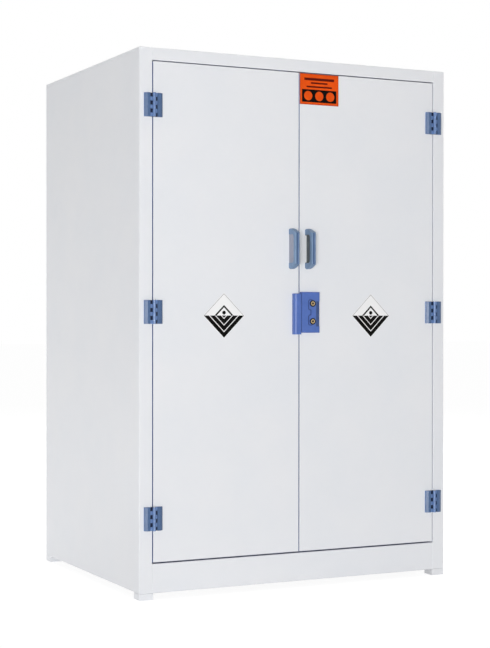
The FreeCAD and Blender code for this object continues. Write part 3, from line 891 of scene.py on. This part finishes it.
def sticker(node, film, prints, materials):
    """A thin film and its prints, each an outline about the middle, its layer and its material's number."""
    low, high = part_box(node)
    middle = middle_of(node)
    thickness = high.y - low.y
    mesh = bmesh.new()
    for outline, layer, material in [(film, film_layer, 0)] + prints:
        back = high.y - thickness * layer_shares[layer]
        out = thickness * (layer_shares[layer + 1] - layer_shares[layer])
        points = [Vector((middle.x + x, back, middle.z + z)) for x, z in outline]
        prism(mesh, points, Vector((0, -out, 0)), material)
    stand_in(node, mesh, materials)


def bar(x0, x1, z0, z1):
    """A rectangular outline."""
    return [(x0, z0), (x1, z0), (x1, z1), (x0, z1)]


def chevron(outer, width):
    """A V-shaped band that opens upward, or a full triangle where the width is zero."""
    points = [(-outer, 0), (0, -outer), (outer, 0)]
    if width:
        points += [(outer - width, 0), (0, width - outer), (width - outer, 0)]
    return points


def roof(outer, width):
    """An upward band, the mirror of a chevron."""
    return [(x, -z) for x, z in chevron(outer, width)]


def diamond(node):
    """White film with nested black chevrons, and over them a thin and a bold roof band and a disc."""
    margin = 2.4 * mm
    line_width = 2.2 * mm
    chevron_width = 17 * mm
    chevron_gap = 3.4 * mm
    roof_share = 0.46
    roof_width = 7 * mm
    disc_height = 9 * mm
    disc_radius = 6 * mm
    disc_sides = 20
    black = 1
    grey = 2

    low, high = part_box(node)
    half = (high.x - low.x) / 2
    film = [(-half, 0), (0, -half), (half, 0), (0, half)]
    outer = half - margin
    prints = [(roof(outer, line_width), print_layer, grey)]
    while outer > 0:
        width = chevron_width if outer > chevron_width else 0.0
        prints.append((chevron(outer, width), print_layer, black))
        outer -= chevron_width + chevron_gap
    prints.append((roof(half * roof_share, roof_width), print_layer, black))
    prints.append((circle(0.0, disc_height, disc_radius, disc_sides), print_layer, black))
    sticker(node, film, prints, [film_white, print_black, print_grey])


def caution(node):
    """Orange film with a dark rim, plain bars and under them a black band with three discs."""
    rim = 2.5 * mm
    margin = 8 * mm
    band_height = 40 * mm
    disc_pitch = 40 * mm
    disc_radius = 15 * mm
    disc_sides = 24
    first_bar = 9 * mm
    bar_pitch = 12 * mm
    bar_sizes = ((46 * mm, 5 * mm), (30 * mm, 5 * mm), (54 * mm, 8 * mm))
    orange = 0
    black = 1
    brown = 2
    dark_orange = 3

    low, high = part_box(node)
    half_x = (high.x - low.x) / 2
    half_z = (high.z - low.z) / 2
    film = bar(-half_x, half_x, -half_z, half_z)
    band_bottom = -half_z + margin
    band_top = band_bottom + band_height
    prints = [
        (bar(-half_x, half_x, half_z - rim, half_z), print_layer, dark_orange),
        (bar(-half_x, half_x, -half_z, -half_z + rim), print_layer, dark_orange),
        (bar(-half_x, -half_x + rim, -half_z + rim, half_z - rim), print_layer, dark_orange),
        (bar(half_x - rim, half_x, -half_z + rim, half_z - rim), print_layer, dark_orange),
        (bar(-half_x + margin, half_x - margin, band_bottom, band_top), print_layer, black),
    ]
    for column in (-1, 0, 1):
        z = (band_top + band_bottom) / 2
        prints.append((circle(column * disc_pitch, z, disc_radius, disc_sides), top_layer, orange))
    for number, (half_width, height) in enumerate(bar_sizes):
        z = band_top + first_bar + number * bar_pitch
        prints.append((bar(-half_width, half_width, z - height / 2, z + height / 2), print_layer, brown))
    sticker(node, film, prints, [film_orange, print_black, print_brown, print_edge])


diamond("left_diamond_sticker")
diamond("right_diamond_sticker")
caution("caution_sticker")


# Stage: backdrop, floor, lamps and camera

world_level = 0.3
floor_reach = 40.0
floor_tone = (238, 238, 238)
floor_roughness = 0.9
floor_glow_share = 0.7
floor_glow = 1.3


def math_node(tree, operation, first, second):
    """Two values, each a link or a number, joined by this operation."""
    node = tree.nodes.new("ShaderNodeMath")
    node.operation = operation
    for socket, value in zip(node.inputs, (first, second)):
        if isinstance(value, float):
            socket.default_value = value
        else:
            tree.links.new(value, socket)
    return node.outputs[0]


def seen_directly(tree):
    """1 for what the camera, a gloss or a glass sees, and 0 for the light that falls on a piece."""
    path = tree.nodes.new("ShaderNodeLightPath").outputs
    plain_view = math_node(tree, "MAXIMUM", path["Is Camera Ray"], path["Is Glossy Ray"])
    return math_node(tree, "MAXIMUM", plain_view, path["Is Transmission Ray"])


def backdrop():
    """A white world that lights the cabinet at a lower level."""
    world = bpy.data.worlds.new("studio")
    world.use_nodes = True
    tree = world.node_tree
    level = tree.nodes.new("ShaderNodeMapRange")
    level.inputs["To Min"].default_value = world_level
    tree.links.new(seen_directly(tree), level.inputs["Value"])
    background = tree.nodes["Background"]
    background.inputs["Color"].default_value = (1, 1, 1, 1)
    tree.links.new(level.outputs["Result"], background.inputs["Strength"])
    bpy.context.scene.world = world


def white_floor():
    """A wide pale floor that keeps a faint shadow under a glow."""
    mesh = bmesh.new()
    bmesh.ops.create_grid(mesh, x_segments=1, y_segments=1, size=floor_reach)
    data = mesh_data("floor", mesh)
    floor = placed("floor", data)
    material = bpy.data.materials.new("floor_white")
    material.use_nodes = True
    tree = material.node_tree
    shader = tree.nodes["Principled BSDF"]
    shader.inputs["Base Color"].default_value = screen(*floor_tone)
    shader.inputs["Roughness"].default_value = floor_roughness
    shader.inputs["Specular IOR Level"].default_value = 0.0
    glow = tree.nodes.new("ShaderNodeEmission")
    glow.inputs["Strength"].default_value = floor_glow
    blend = tree.nodes.new("ShaderNodeMixShader")
    tree.links.new(math_node(tree, "MULTIPLY", seen_directly(tree), floor_glow_share), blend.inputs["Fac"])
    tree.links.new(shader.outputs[0], blend.inputs[1])
    tree.links.new(glow.outputs[0], blend.inputs[2])
    tree.links.new(blend.outputs[0], tree.nodes["Material Output"].inputs["Surface"])
    data.materials.append(material)


def softbox(name, place, target, width, height, power):
    """A rectangular lamp at a place, turned to a target. Its power is in watts."""
    data = bpy.data.lights.new(name, "AREA")
    data.shape = "RECTANGLE"
    data.size = width
    data.size_y = height
    data.energy = power
    lamp = placed(name, data)
    lamp.location = place
    lamp.rotation_euler = (Vector(target) - Vector(place)).to_track_quat("-Z", "Y").to_euler()


def photo_camera():
    """The camera at the place and turn fitted to the photo. Its lens and sensor are in millimetres."""
    yaw = 0.4589
    pitch = -0.0051
    roll = -0.0005
    data = bpy.data.cameras.new("camera")
    data.sensor_width = 36.0
    data.lens = 84.762
    camera = placed("camera", data)
    camera.location = (-2.29376, -4.66318, 0.85837)
    camera.rotation_mode = "XYZ"
    camera.rotation_euler = (math.pi / 2 + pitch, roll, -yaw)
    bpy.context.scene.camera = camera


backdrop()
white_floor()
softbox("key_light", place=(-4.2, -7.8, 0.4), target=(0, 0, 0.6), width=3.0, height=1.0, power=568)
softbox("side_light", place=(-2.8, 1.2, 0.12), target=(-side_x, 0.2, 0.0), width=2.4, height=0.3, power=18)
softbox("back_light", place=(2.2, 4.2, 5.2), target=(0, 0, 0.9), width=3.0, height=3.0, power=130)
photo_camera()
bpy.context.scene.view_settings.view_transform = "Standard"
